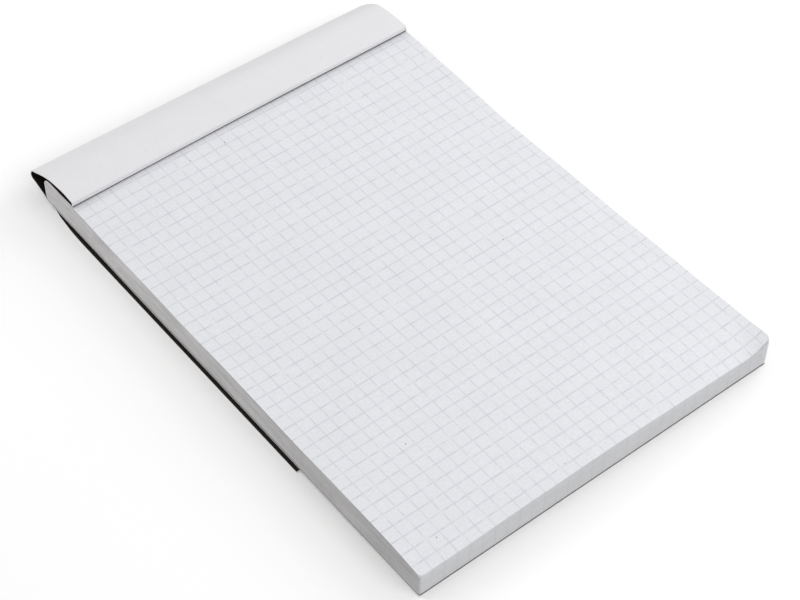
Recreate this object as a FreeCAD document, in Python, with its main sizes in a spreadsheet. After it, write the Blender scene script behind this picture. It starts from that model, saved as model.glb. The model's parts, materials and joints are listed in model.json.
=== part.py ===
import FreeCAD, Part

import math
import os

import Sketcher

# A head-bound A5 writing pad, lying on a table with its front cover folded under it.
#
# Frame: millimetres, +Z up. The origin is on the table, under the middle of the sheets. X runs along the
# bound head, and +Y points from the foot of the pad to its head.
#
# The cover is one strip of thin card, dark outside and pale inside. From the foot it runs under the pad, up
# the head as a spine and a little way over the sheets, where two staples hold it. There it is scored and
# folded back on itself, so that its pale inside faces up. This lap overhangs the head and turns down in a
# soft crease. The front cover flap hangs on that crease and lies between the pad and the table.

DIMENSIONS = {
    # sheets
    "page_width": 148.0,
    "page_length": 210.0,
    "page_top": 11.65,  # top sheet above the table
    "head_top": 13.0,  # and under the bound strip, where the sheets swell
    "swell_start": 35.0,  # Y where the sheets start to rise
    "swell_end": 85.0,  # Y where they reach the bound strip
    "corner_radius": 1.5,  # upright corners at the foot
    "page_lower_radius": 3.0,  # rounding of the sheets inside the spine
    "page_upper_radius": 3.6,
    # card and board
    "card_thickness": 0.35,
    "board_thickness": 0.65,
    "pad_lift": 0.42,  # underside of the pad above the table, over the flap
    # bends of the card, measured on its dark outer face
    "spine_lower_radius": 4.0,
    "spine_upper_radius": 3.7,
    "lift_start": 94.1,  # Y where the bound strip leaves the sheets
    "lift_radius": 32.0,
    "lift_turn": 17.0,
    "score_radius": 0.2,
    "lap_turn": 36.0,
    "crease_radius": 1.05,
    "crease_run": 0.34,  # straight end of the card next to the crease line
    "crease_clearance": 0.5,  # between that end and the crease line
    "lap_crease_turn": 32.0,
    # the crease line, about which the flap turns
    "crease_y": 113.8,
    "crease_z": 7.4,
    # front cover flap
    "flap_end": -45.0,  # Y of its free edge
    "flap_shift": 0.5,  # how far it sits towards -X
    "flap_bend_radius": 5.0,  # where it leaves the table, round the foot of the spine
    "flap_slope": 55.0,  # its slope at the crease line
    # staples
    "staple_x": 37.0,
    "staple_y": 97.0,
    "crown_width": 12.9,
    "clinch_length": 4.0,
    "wire_thickness": 0.5,
    "wire_width": 0.7,
    "wire_bend_radius": 0.55,
    "hole_clearance": 0.05,
}

ACROSS = FreeCAD.Vector(1, 0, 0)
ALONG = FreeCAD.Vector(0, 1, 0)
SIDE_PLANE = FreeCAD.Rotation(FreeCAD.Vector(1, 1, 1), 120)  # sketch x and y become world Y and Z
FRONT_PLANE = FreeCAD.Rotation(FreeCAD.Vector(1, 0, 0), 90)  # sketch x and y become world X and Z
START, END = 1, 2

# Heights and places that several sub-parts share, as expressions in cells.
HEAD = "page_length / 2"
FOOT = "page_length / -2"
CARD_TOP = "pad_lift + card_thickness"
BOARD_TOP = "pad_lift + card_thickness + board_thickness"
STRIP_TOP = "head_top + card_thickness"

doc = FreeCAD.newDocument("writing_pad")
sheet = doc.addObject("Spreadsheet::Sheet", "Sheet")
for row, (alias, value) in enumerate(DIMENSIONS.items(), start=1):
    sheet.set(f"A{row}", alias)
    sheet.set(f"B{row}", str(value))
    sheet.setAlias(f"B{row}", alias)
doc.recompute()


def size(expression):
    """The value of an alias, of a formula of aliases, or of a plain number."""
    return float(sheet.evalExpression(str(expression)))


def bind(obj, path, expression):
    """Ties a property of an object to cells of the sheet. The words of a formula stand between spaces."""
    words = expression.split(" ")
    obj.setExpression(path, " ".join(f"Sheet.{word}" if word in DIMENSIONS else word for word in words))


# The moves of a path. A size given as an expression drives the sketch, and one given as a number is a first
# guess, which the sketch solver works out.


def run(length):
    return {"kind": "run", "length": length}


def left(radius, turn):
    return {"kind": "bend", "radius": radius, "turn": turn, "side": 1}


def right(radius, turn):
    return {"kind": "bend", "radius": radius, "turn": turn, "side": -1}


def toward(heading):
    """A step of one millimetre along a heading in radians."""
    return FreeCAD.Vector(math.cos(heading), math.sin(heading), 0)


def constrain(sketch, name, kind, *details, drive=None):
    """Adds a named constraint, driven by an expression where one is given."""
    sketch.renameConstraint(sketch.addConstraint(Sketcher.Constraint(kind, *details)), name)
    if drive:
        bind(sketch, f"Constraints.{name}", drive)


def fix_point(sketch, name, vertex, across=None, up=None):
    """Holds a vertex at expressions of its two distances from the sketch's origin."""
    for axis, expression in (("X", across), ("Y", up)):
        if expression is not None:
            kind = f"Distance{axis}"
            constrain(sketch, f"{name}_{axis}", kind, -1, 1, *vertex, size(expression), drive=expression)


def draw_run(sketch, name, move, point, heading):
    """Adds a line and gives its edge number, its two vertex numbers and its far end."""
    length = size(move["length"])
    far = point + toward(heading) * length
    edge = sketch.addGeometry(Part.LineSegment(point, far), False)
    if isinstance(move["length"], str):
        constrain(sketch, f"{name}_length", "Distance", edge, length, drive=move["length"])
    return edge, START, END, far


def draw_bend(sketch, name, move, point, heading):
    """Adds an arc that leaves point along heading, and gives the same four things."""
    radius, side = size(move["radius"]), move["side"]
    turn = math.radians(size(move["turn"]))
    out = heading + side * math.pi / 2
    centre = point + toward(out) * radius
    first, last = out + math.pi, out + math.pi + side * turn
    circle = Part.Circle(centre, FreeCAD.Vector(0, 0, 1), radius)
    edge = sketch.addGeometry(Part.ArcOfCircle(circle, min(first, last), max(first, last)), False)
    if isinstance(move["radius"], str):
        constrain(sketch, f"{name}_radius", "Radius", edge, radius, drive=move["radius"])
    if isinstance(move["turn"], str):
        constrain(sketch, f"{name}_turn", "Angle", edge, turn, drive=f"( {move['turn']} ) * 1 deg")
    entry, leave = (START, END) if side > 0 else (END, START)
    return edge, entry, leave, centre + toward(last) * radius


def draw_path(sketch, start, moves, heading=0.0):
    """Draws runs and bends that meet smoothly, and gives each one's edge number and end vertices."""
    point = FreeCAD.Vector(*start, 0)
    drawn = {}
    last = None
    for name, move in moves.items():
        draw = draw_run if move["kind"] == "run" else draw_bend
        edge, entry, leave, point = draw(sketch, name, move, point, heading)
        if move["kind"] == "bend":
            heading += move["side"] * math.radians(size(move["turn"]))
        if last:
            sketch.addConstraint(Sketcher.Constraint("Tangent", *last, edge, entry))
        last = (edge, leave)
        drawn[name] = (edge, entry, leave)
    return drawn


def section_sketch(name, rotation=SIDE_PLANE):
    """A sketch for the section of a bent strip."""
    sketch = doc.addObject("Sketcher::SketchObject", name)
    sketch.Placement = FreeCAD.Placement(FreeCAD.Vector(0, 0, 0), rotation)
    return sketch


def strip_of(sketch, thickness, direction, width):
    """Thickens a path outwards, or inwards under a minus, and extrudes it to both sides of its plane."""
    section = doc.addObject("Part::Offset2D", f"{sketch.Name}_thick")
    section.Source = sketch
    section.Mode = "Skin"
    section.Fill = True
    bind(section, "Value", thickness)
    strip = doc.addObject("Part::Extrusion", f"{sketch.Name}_strip")
    strip.Base = section
    strip.DirMode = "Custom"
    strip.Dir = direction
    strip.Symmetric = True
    strip.Solid = True
    bind(strip, "LengthFwd", width)
    doc.recompute()
    return strip


def foot_corners(shape):
    """The numbers of the two upright corner edges at the foot of a solid."""
    foot = size(FOOT)
    return [
        number
        for number, edge in enumerate(shape.Edges, start=1)
        if abs(edge.CenterOfMass.y - foot) < 0.01 and edge.BoundBox.XLength < 0.01
    ]


def round_foot_corners(solid):
    """Rounds a strip's two corners at the foot, in line with the sheets."""
    rounded = doc.addObject("Part::Fillet", f"{solid.Name}_rounded")
    rounded.Base = solid
    radius = size("corner_radius")
    rounded.Edges = [(number, radius, radius) for number in foot_corners(solid.Shape)]
    doc.recompute()
    return rounded


def box(name, sides, corner):
    """A box whose sides and lowest corner are expressions."""
    solid = doc.addObject("Part::Box", name)
    for side, expression in zip(("Length", "Width", "Height"), sides):
        bind(solid, side, expression)
    for axis, expression in zip("xyz", corner):
        bind(solid, f"Placement.Base.{axis}", expression)
    return solid


def fuse(name, solids):
    joined = doc.addObject("Part::MultiFuse", name)
    joined.Shapes = solids
    return joined


def cut(label, base, tool):
    """Base without tool, labelled as a sub-part."""
    result = doc.addObject("Part::Cut", label)
    result.Base = base
    result.Tool = tool
    return result


def leg_slots(name, height, bottom):
    """The slots for both legs of both staples, through one layer."""
    wide = "( wire_thickness + 2 * hole_clearance )"
    deep = "( wire_width + 2 * hole_clearance )"
    slots = []
    for staple in (-1, 1):
        for leg in (-1, 1):
            middle = f"{staple} * staple_x + {leg} * ( crown_width - wire_thickness ) / 2"
            corner = (f"{middle} - {wide} / 2", f"staple_y - {deep} / 2", bottom)
            slots.append(box(f"{name}_{len(slots)}", (wide, deep, height), corner))
    return fuse(name, slots)


def clinch_grooves(name):
    """Grooves in the underside of the board, for the bent ends of the legs."""
    wide = "( crown_width + 2 * hole_clearance )"
    deep = "( wire_width + 2 * hole_clearance )"
    grooves = []
    for staple in (-1, 1):
        corner = (f"{staple} * staple_x - {wide} / 2", f"staple_y - {deep} / 2", CARD_TOP)
        height = "wire_thickness + 2 * hole_clearance"
        grooves.append(box(f"{name}_{len(grooves)}", (wide, deep, height), corner))
    return fuse(name, grooves)


def make_page_block():
    """All the sheets, as one solid: level, and swelling towards the head under the bound strip."""
    body = doc.addObject("PartDesign::Body", "sheets")
    planes = {feature.Role: feature for feature in body.Origin.OriginFeatures}
    sketch = body.newObject("Sketcher::SketchObject", "sheets_section")
    sketch.AttachmentSupport = (planes["YZ_Plane"], "")
    sketch.MapMode = "FlatFace"
    doc.recompute()

    length, rise = size("( swell_end - swell_start ) / 2"), size("( head_top - page_top ) / 2")
    swell_turn = 2 * math.atan(rise / length)
    swell_radius = length / math.sin(swell_turn)
    inner_head = "page_length / 2 - card_thickness"
    path = draw_path(
        sketch,
        (size(FOOT), size(BOARD_TOP)),
        {
            "bottom": run(size("page_length - card_thickness - page_lower_radius")),
            "lower_head": left("page_lower_radius", "90"),
            "head": run(size(f"head_top - ( {BOARD_TOP} ) - page_lower_radius - page_upper_radius")),
            "upper_head": left("page_upper_radius", "90"),
            "bound": run(size(f"{inner_head} - page_upper_radius - swell_end")),
            "swell_top": left(swell_radius, math.degrees(swell_turn)),
            "swell_foot": right(swell_radius, math.degrees(swell_turn)),
            "top": run(size("swell_start + page_length / 2")),
        },
    )
    foot = sketch.addGeometry(
        Part.LineSegment(
            FreeCAD.Vector(size(FOOT), size("page_top"), 0), FreeCAD.Vector(size(FOOT), size(BOARD_TOP), 0)
        ),
        False,
    )
    for constraint in (
        ("Horizontal", path["bottom"][0]),
        ("Horizontal", path["top"][0]),
        ("Coincident", path["top"][0], END, foot, START),
        ("Coincident", foot, END, path["bottom"][0], START),
        ("Vertical", foot),
        ("Equal", path["swell_top"][0], path["swell_foot"][0]),
    ):
        sketch.addConstraint(Sketcher.Constraint(*constraint))
    fix_point(sketch, "foot_corner", (path["bottom"][0], START), FOOT, BOARD_TOP)
    fix_point(sketch, "head_face", (path["head"][0], START), across=inner_head)
    fix_point(sketch, "bound_end", (path["bound"][0], END), "swell_end", "head_top")
    fix_point(sketch, "swell_start", (path["top"][0], START), "swell_start", "page_top")

    pad = body.newObject("PartDesign::Pad", "sheets_pad")
    pad.Profile = sketch
    pad.Midplane = True
    bind(pad, "Length", "page_width")
    doc.recompute()

    fillet = body.newObject("PartDesign::Fillet", "sheets_corners")
    fillet.Base = (pad, [f"Edge{number}" for number in foot_corners(pad.Shape)])
    bind(fillet, "Radius", "corner_radius")
    body.Tip = fillet
    return cut("page_block", body, leg_slots("page_slots", "head_top + 1", "0"))


def make_backing_board():
    """The stiff grey board under the sheets, with grooves for the clinched staples."""
    board = box(
        "board_blank",
        ("page_width", "page_length - spine_lower_radius", "board_thickness"),
        ("page_width / -2", FOOT, CARD_TOP),
    )
    doc.recompute()
    board = round_foot_corners(board)
    slots = leg_slots("board_slots", "head_top", "0")
    return cut("backing_board", board, fuse("board_holes", [slots, clinch_grooves("grooves")]))


def hold_end(sketch, edge, heading, side):
    """Ends the dark face of a card beside the crease line. The heading there is an expression in degrees."""
    back = "crease_clearance"
    across = f"{side} * card_thickness / 2"
    fix_point(
        sketch,
        "crease_end",
        (edge, END),
        f"crease_y - {back} * cos( {heading} ) - {across} * sin( {heading} )",
        f"crease_z - {back} * sin( {heading} ) + {across} * cos( {heading} )",
    )


def make_cover():
    """The card from its foot edge under the pad, round the head, over the staples, and back as the lap."""
    sketch = section_sketch("cover_section")
    path = draw_path(
        sketch,
        (size(FOOT), size("pad_lift")),
        {
            "back": run(size("page_length - spine_lower_radius")),
            "lower_head": left("spine_lower_radius", "90"),
            "spine": run(size(f"{STRIP_TOP} - pad_lift - spine_lower_radius - spine_upper_radius")),
            "upper_head": left("spine_upper_radius", "90"),
            "bound": run(size(f"{HEAD} - spine_upper_radius - lift_start")),
            "lift": right("lift_radius", "lift_turn"),
            "score": right("score_radius", "180 - lift_turn"),
            "lap": run(8.0),
            "lap_arch": right(32.0, "lap_turn"),
            "lap_crease": right("crease_radius", "lap_crease_turn"),
            "lap_end": run("crease_run"),
        },
    )
    sketch.addConstraint(Sketcher.Constraint("Horizontal", path["back"][0]))
    fix_point(sketch, "foot_edge", (path["back"][0], START), FOOT, "pad_lift")
    fix_point(sketch, "spine", (path["spine"][0], START), across=HEAD)
    fix_point(sketch, "strip", (path["bound"][0], END), "lift_start", STRIP_TOP)
    hold_end(sketch, path["lap_end"][0], "-1 * ( lap_turn + lap_crease_turn )", -1)
    card = round_foot_corners(strip_of(sketch, "-1 * card_thickness", ACROSS, "page_width"))
    height = "3 * card_thickness"
    return cut("cover", card, leg_slots("strip_slots", height, "head_top - card_thickness"))


def make_cover_flap():
    """The front cover flap: flat on the table, close round the foot of the spine, then up to the crease."""
    sketch = section_sketch("flap_section")
    corner = f"{HEAD} - spine_lower_radius"
    path = draw_path(
        sketch,
        (size("flap_end"), size("card_thickness")),
        {
            "flat": run(size(f"{corner} - flap_end")),
            "spine_bend": left("flap_bend_radius", 30.0),
            "slope": run(11.0),
            "flap_crease": left("crease_radius", 25.0),
            "flap_end_run": run("crease_run"),
        },
    )
    sketch.addConstraint(Sketcher.Constraint("Horizontal", path["flat"][0]))
    fix_point(sketch, "free_edge", (path["flat"][0], START), "flap_end", "card_thickness")
    fix_point(sketch, "spine_bend", (path["flat"][0], END), across=corner)
    last = path["flap_end_run"][0]
    slope = math.radians(size("flap_slope"))
    constrain(sketch, "slope", "Angle", -1, 1, last, START, slope, drive="flap_slope * 1 deg")
    hold_end(sketch, last, "flap_slope", 1)
    flap = strip_of(sketch, "card_thickness", ACROSS, "page_width")
    bind(flap, "Placement.Base.x", "-1 * flap_shift")
    flap.Label = "cover_flap"
    return flap


def make_staples():
    """Two flat-wire staples: crowns on the bound strip, legs through the pad, ends clinched in the board."""
    sketch = section_sketch("staple_section", FRONT_PLANE)
    bottom = f"{CARD_TOP} + hole_clearance"
    leg = f"{STRIP_TOP} + wire_thickness - ( {bottom} ) - 2 * wire_bend_radius"
    clinch = "clinch_length - wire_bend_radius"
    path = draw_path(
        sketch,
        (size("clinch_length - crown_width / 2"), size(bottom)),
        {
            "first_clinch": run(clinch),
            "first_foot": right("wire_bend_radius", "90"),
            "first_leg": run(leg),
            "first_shoulder": right("wire_bend_radius", "90"),
            "crown": run("crown_width - 2 * wire_bend_radius"),
            "second_shoulder": right("wire_bend_radius", "90"),
            "second_leg": run(leg),
            "second_foot": right("wire_bend_radius", "90"),
            "second_clinch": run(clinch),
        },
        heading=math.pi,
    )
    first = path["first_clinch"][0]
    sketch.addConstraint(Sketcher.Constraint("Horizontal", first))
    fix_point(sketch, "first_tip", (first, START), "clinch_length - crown_width / 2", bottom)
    staples = []
    for side in (-1, 1):
        staple = strip_of(sketch, "-1 * wire_thickness", ALONG, "wire_width")
        bind(staple, "Placement.Base.x", f"{side} * staple_x")
        bind(staple, "Placement.Base.y", "staple_y")
        staples.append(staple)
    pair = doc.addObject("Part::Compound", "staples")
    pair.Links = staples
    return pair


def check(parts):
    """Stops if the document holds a failed object, or a sub-part is empty, invalid or open."""
    for obj in doc.Objects:
        if "Invalid" in obj.State or "Error" in obj.State:
            raise RuntimeError(f"{obj.Label} failed: {obj.State}")
        if obj.TypeId == "Sketcher::SketchObject" and not obj.FullyConstrained:
            raise RuntimeError(f"{obj.Label} isn't fully constrained")
    for part in parts:
        shape = part.Shape
        if shape.isNull() or not shape.isValid() or not shape.Solids:
            raise RuntimeError(f"{part.Label} has no valid solid")


def check_strip(part, section):
    """Compares a bent strip's volume with that of its sheet laid flat, allowing for its holes and corners."""
    flat = section.Shape.Length * size("page_width") * size("card_thickness")
    if not 0.97 < part.Shape.Volume / flat < 1.03:
        raise RuntimeError(f"{part.Label} is {part.Shape.Volume:.0f} cubic mm, and its sheet {flat:.0f}")


parts = {
    part.Label: part
    for part in (
        make_page_block(),
        make_backing_board(),
        make_cover(),
        make_cover_flap(),
        make_staples(),
    )
}
doc.recompute()
check(parts.values())
check_strip(parts["cover"], doc.getObject("cover_section"))
check_strip(parts["cover_flap"], doc.getObject("flap_section"))

os.makedirs("parts", exist_ok=True)
for label, part in parts.items():
    part.Shape.exportStep(f"parts/{label}.step")
    volume, solids = part.Shape.Volume / 1000, len(part.Shape.Solids)
    print(f"{label}: {solids} solid(s), {volume:.3f} cubic cm, {part.Shape.BoundBox}")
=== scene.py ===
# %% [markdown]
# # A head-bound writing pad, with its cover folded back under it
#
# A hundred squared sheets, a stiff grey board and one long strip of card make this pad. The card is nearly
# black outside and off-white inside. It runs under the board, round the head, and a little way over the
# sheets, where two staples hold it. There it is scored and folded back, so the pale inside of the cover shows
# as a lap over the head. The rest of the cover turns down in a soft crease and lies under the pad.
#
# The construction model is the frame: it fixes the main sizes and says which body each piece belongs to. This
# script dresses it. Each cell says what a piece is, how it could be made, and why it is made this way.

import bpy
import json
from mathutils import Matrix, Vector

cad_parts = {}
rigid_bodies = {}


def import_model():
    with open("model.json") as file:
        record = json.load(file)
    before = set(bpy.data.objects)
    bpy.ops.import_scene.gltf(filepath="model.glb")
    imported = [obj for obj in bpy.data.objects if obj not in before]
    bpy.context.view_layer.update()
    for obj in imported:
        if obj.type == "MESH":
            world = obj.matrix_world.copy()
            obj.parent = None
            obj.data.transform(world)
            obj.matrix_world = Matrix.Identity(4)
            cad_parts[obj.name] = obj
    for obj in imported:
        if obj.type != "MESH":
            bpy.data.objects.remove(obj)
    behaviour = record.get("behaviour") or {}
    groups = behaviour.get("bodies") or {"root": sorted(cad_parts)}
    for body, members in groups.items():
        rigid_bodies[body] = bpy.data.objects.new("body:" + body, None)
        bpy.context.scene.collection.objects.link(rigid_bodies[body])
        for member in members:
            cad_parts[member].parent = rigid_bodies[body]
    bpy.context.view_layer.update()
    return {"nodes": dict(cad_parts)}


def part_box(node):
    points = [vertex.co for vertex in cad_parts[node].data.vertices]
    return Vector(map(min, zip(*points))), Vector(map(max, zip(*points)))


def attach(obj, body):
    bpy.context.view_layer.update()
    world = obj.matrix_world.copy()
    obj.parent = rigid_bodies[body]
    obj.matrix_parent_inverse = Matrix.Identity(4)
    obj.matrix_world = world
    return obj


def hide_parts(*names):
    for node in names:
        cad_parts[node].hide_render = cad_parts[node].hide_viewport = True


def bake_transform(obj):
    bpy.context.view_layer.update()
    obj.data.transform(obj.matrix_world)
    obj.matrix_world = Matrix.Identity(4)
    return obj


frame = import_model()

# %% [markdown]
# ## Units and sizes
#
# Blender works in metres, but paper and card are thought of in millimetres. So every shape below is worked
# out in millimetres and turned into metres at the last moment, where its points go into a mesh. The main
# sizes come from the frame's own boxes, so that the dressing fits the construction.

# %% Sizes from the frame
import json
import math

import bpy
import numpy as np
from mathutils import Quaternion, Vector

MM = 0.001


def box_mm(node):
    """A node's lowest and highest corners, in millimetres."""
    low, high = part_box(node)
    return np.array(low) / MM, np.array(high) / MM


sheets_low, sheets_high = box_mm("page_block")
board_low, board_high = box_mm("backing_board")
cover_low = box_mm("cover")[0]
flap_low = box_mm("cover_flap")[0]

HALF_WIDTH = sheets_high[0]
TRIM = 0.35  # this pad was cut so much longer at the foot than the nominal sheet
FOOT = sheets_low[1] - TRIM
HEAD = -sheets_low[1]
CARD = board_low[2] - cover_low[2]  # how thick the cover is
PAD_LIFT = cover_low[2]  # the flap lies between the pad and the table
BOARD_TOP = board_high[2]
STRIP_BASE = sheets_high[2]  # the bound strip lies on the sheets
FLAP_END = flap_low[1]
print(f"sheets {2 * HALF_WIDTH:.1f} x {HEAD - FOOT:.1f} mm")
print(f"card {CARD:.2f} mm thick, pad {PAD_LIFT:.2f} mm off the table")

# %% [markdown]
# ## A thin body between two grids
#
# Paper, board and card are all the same kind of shape: two faces a hair apart, with a cut edge round them.
# A plane with a Solidify modifier would do, but here the two faces carry different finishes, and the corners
# at the foot are rounded. So one function takes a grid of points for each face, joins them face to face
# and closes the rim. Material 0 is the upper face, 1 the lower one and 2 the cut edge.

# %% The function that makes every thin body
UPPER, LOWER, RIM = 0, 1, 2
ARRIS = 50.0  # where two faces meet at more than this many degrees, the edge between them is crisp


def slab_faces(rows, columns, first):
    """Corner numbers of each face of a closed slab, with its material number.

    As the upper face is looked at, columns run to the right and rows run up.
    """
    count = rows * columns
    number = first + np.arange(count).reshape(rows, columns)
    upper = np.stack([number[:-1, :-1], number[:-1, 1:], number[1:, 1:], number[1:, :-1]], -1).reshape(-1, 4)
    lower = upper[:, ::-1] + count
    ring = np.concatenate([number[0, :-1], number[:-1, -1], number[-1, :0:-1], number[:0:-1, 0]])
    after = np.roll(ring, -1)
    rim = np.stack([ring, ring + count, after + count, after], -1)
    faces = np.concatenate([upper, lower, rim])
    kinds = np.repeat([UPPER, LOWER, RIM], [len(upper), len(lower), len(rim)])
    return faces, kinds


def finish_mesh(mesh):
    """Soft shading over the faces, with a crisp arris where a face meets its cut edge."""
    mesh.polygons.foreach_set("use_smooth", np.ones(len(mesh.polygons), bool))
    mesh.set_sharp_from_angle(angle=math.radians(ARRIS))
    mesh.validate()
    mesh.update()


def thin_body(name, slabs, materials, flat=None):
    """One object from pairs of grids (upper, lower) in millimetres, each of shape rows x columns x 3.

    Flat is where each point of the grid lay before the piece was bent, rows x columns x 2.
    """
    points, faces, kinds = [], [], []
    for upper, lower in slabs:
        slab, kind = slab_faces(*upper.shape[:2], first=sum(len(p) for p in points))
        points += [upper.reshape(-1, 3), lower.reshape(-1, 3)]
        faces.append(slab)
        kinds.append(kind)
    mesh = bpy.data.meshes.new(name)
    mesh.from_pydata(np.concatenate(points) * MM, [], np.concatenate(faces).tolist())
    mesh.polygons.foreach_set("material_index", np.concatenate(kinds).astype(np.int32))
    for material in materials:
        mesh.materials.append(material)
    if flat is not None:
        corners = np.empty(len(mesh.loops), np.int32)
        mesh.loops.foreach_get("vertex_index", corners)
        pattern = np.tile(flat.reshape(-1, 2) * MM, (2, 1))[corners]
        mesh.uv_layers.new(name="flat").data.foreach_set("uv", pattern.ravel())
    finish_mesh(mesh)
    piece = bpy.data.objects.new(name, mesh)
    bpy.context.scene.collection.objects.link(piece)
    print(f"{name}: {len(mesh.polygons)} faces")
    return piece


print("materials of a thin body: upper face", UPPER, "lower face", LOWER, "cut edge", RIM)

# %% [markdown]
# ## How the sheets lie
#
# A used pad isn't flat. The sheets swell towards the head, their long edges rise and fall a little, and the
# blade has pressed the cut down at the foot. A flat grid could be sculpted into that. A few heights along the
# pad say the same, and each can be read and changed. A smooth curve joins them, and both edges fade into the
# middle. The underside isn't flat either. The pad lies on the cover flap and sags past its end, and the
# springy crease pushes the head up a little.

# %% Heights of the top sheet
# Along the pad: where the heights are given, the middle of the top sheet there, and the rise of each edge.
STATIONS = np.array([-105, -90, -75, -60, -45, -25, -5, 15, 35, 52, 68, 80, 94, 105.0])
MIDDLE = np.array([11.4, 11.7, 11.85, 11.8, 11.65, 11.2, 11.05, 11.1, 11.4, 11.95, 12.65, 13.2, 13.0, 13.0])
LEFT_EDGE = np.array([0.0, 0.4, 0.4, 0.35, 0.1, 0.85, 1.3, 0.75, 0.7, 0.2, -0.45, -0.6, -0.4, -0.3])
RIGHT_EDGE = np.array([0.9, 1.15, 0.45, 0.35, 0.1, 0.1, 0.25, -0.2, -0.4, 0.25, 0.0, 0.25, 0.0, 0.0])
LEFT_FADE, RIGHT_FADE = 14.0, 6.0  # how far each edge's rise reaches towards the middle

# Across the foot: where the dips are given, how deep they are, and how far they reach into the page.
FOOT_STATIONS = np.array([-74, -62, -50, -38, -15, 0, 10, 25, 40, 52, 61, 66, 70, 74.0])
FOOT_DIPS = np.array([0.75, 0.8, 0.5, 0.15, -0.1, -0.25, -0.1, 0.3, 0.7, 1.05, 1.4, 1.5, 0.7, 0.4])
FOOT_FADE = 4.5

SAG_REACH = 60.0  # past the end of the flap, the pad comes down to the table over this length
HEAD_LIFT, LIFT_FROM, LIFT_TO = 0.6, 40.0, 84.0  # the crease lifts the head so much, between these places


def curve(stations, values, at):
    """A smooth curve through the values at the stations."""
    slopes = np.gradient(values, stations)
    k = np.clip(np.searchsorted(stations, at, side="right") - 1, 0, len(stations) - 2)
    span = stations[k + 1] - stations[k]
    t = np.clip((at - stations[k]) / span, 0, 1)
    ease = t * t * (3 - 2 * t)
    lean = span * t * (1 - t) * ((1 - t) * slopes[k] - t * slopes[k + 1])
    return values[k] * (1 - ease) + values[k + 1] * ease + lean


def underside(y):
    """How far the underside of the pad is off its own level."""
    past_flap = np.clip((FLAP_END - y) / SAG_REACH, 0, 1)
    near_head = np.clip((y - LIFT_FROM) / (LIFT_TO - LIFT_FROM), 0, 1)
    return HEAD_LIFT * near_head**2 * (3 - 2 * near_head) - PAD_LIFT * past_flap


def top_height(x, y):
    """Height of the top sheet above the table."""
    left = curve(STATIONS, LEFT_EDGE, y) * np.exp(-(x + HALF_WIDTH) / LEFT_FADE)
    right = curve(STATIONS, RIGHT_EDGE, y) * np.exp(-(HALF_WIDTH - x) / RIGHT_FADE)
    dip = curve(FOOT_STATIONS, FOOT_DIPS, x) * np.exp(-(y - FOOT) / FOOT_FADE)
    return curve(STATIONS, MIDDLE, y) + left + right - dip


def lie(points, share):
    """Gives level points their height: share is 0 on the board and 1 at the top of the sheets."""
    x, y = points[..., 0], points[..., 1]
    low = BOARD_TOP + underside(y)
    placed = points.copy()
    placed[..., 2] = low + share * (top_height(x, y) - low)
    return placed


print(f"the middle of the top sheet lies {MIDDLE.min():.2f} to {MIDDLE.max():.2f} mm above the table")

# %% [markdown]
# ## The shape of one sheet
#
# Every sheet was cut in the same stack, so they share one outline: square at the head, and with the two
# corners at the foot slightly rounded. The spine of the pad is round, so at the head the sheets near the top
# and the bottom of the stack stop a little short. Bevelled corners on a plane would do for one flat sheet,
# but these have to bend. So a grid is used, whose rows bunch up at the foot to follow the round corners, and
# whose columns bunch up at both edges, where the sheets rise and fall the most.

# %% Outline of a sheet
CORNER, CORNER_ROWS = 0.8, 6  # radius of a cut corner, and rows of points that follow it
FIRST_STEP, STEP_GROWTH = 1.5, 1.5  # past the corner, the first step between rows, and how fast steps grow
SPINE = HEAD - CARD
LOW_ROUND, HIGH_ROUND = 2.5, 4.0  # radii inside the card of the spine
DRAWN_FROM = 60.0  # from here to the head, a sheet is drawn back to fit the spine


def bunched(count):
    """Shares of the width from 0 to 1, closest together at both ends."""
    return 0.5 - 0.5 * np.cos(np.linspace(0, math.pi, count))


def rows_from_foot(length, corner, widest):
    """Distances from the foot: close together in the round corner, then wider apart, up to the widest."""
    rows = list(corner * (1 - np.cos(np.linspace(0, math.pi / 2, CORNER_ROWS))))
    step = FIRST_STEP
    while rows[-1] + STEP_GROWTH * step < length:
        rows.append(rows[-1] + step)
        step = min(STEP_GROWTH * step, widest)
    return np.array(rows + [length])


def outline(rows, columns, left=CORNER, right=CORNER):
    """A flat grid of points with rounded corners at the foot."""
    grid = np.zeros((len(rows), len(columns), 3))
    for row, distance in enumerate(rows):
        reach = [
            HALF_WIDTH - radius + math.sqrt(radius**2 - max(radius - distance, 0) ** 2)
            for radius in (left, right)
        ]
        grid[row, :, 0] = np.interp(columns, [0, 1], [-reach[0], reach[1]])
        grid[row, :, 1] = FOOT + distance
    return grid


def fit_spine(points, share):
    """Draws the head of a sheet back to where the round spine leaves room for it."""
    height = BOARD_TOP + share * (STRIP_BASE - BOARD_TOP)
    inset = 0
    for past, radius in (
        (PAD_LIFT + CARD + LOW_ROUND - height, LOW_ROUND),
        (height - STRIP_BASE + HIGH_ROUND, HIGH_ROUND),
    ):
        inset = inset + radius - np.sqrt(radius**2 - np.clip(past, 0, radius) ** 2)
    placed = points.copy()
    placed[..., 1] -= inset * np.clip((points[..., 1] - DRAWN_FROM) / (SPINE - DRAWN_FROM), 0, 1)
    return placed


print("rows of points up to 9 mm apart on a sheet:", len(rows_from_foot(SPINE - FOOT, CORNER, widest=9.0)))

# %% [markdown]
# ## Colours and the node helper
#
# Colours are written as the hex values a designer would pick on screen. Blender shades in linear light, so
# one function converts them. A second small function adds any node with its settings and links, which keeps
# each material below short enough to read as a recipe. Inputs that share a name go by number: a colour Mix
# has its colours on 6 and 7 and its result on output 2, and a Mix of plain numbers has them on 2 and 3.

# %% Helpers for materials


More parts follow.
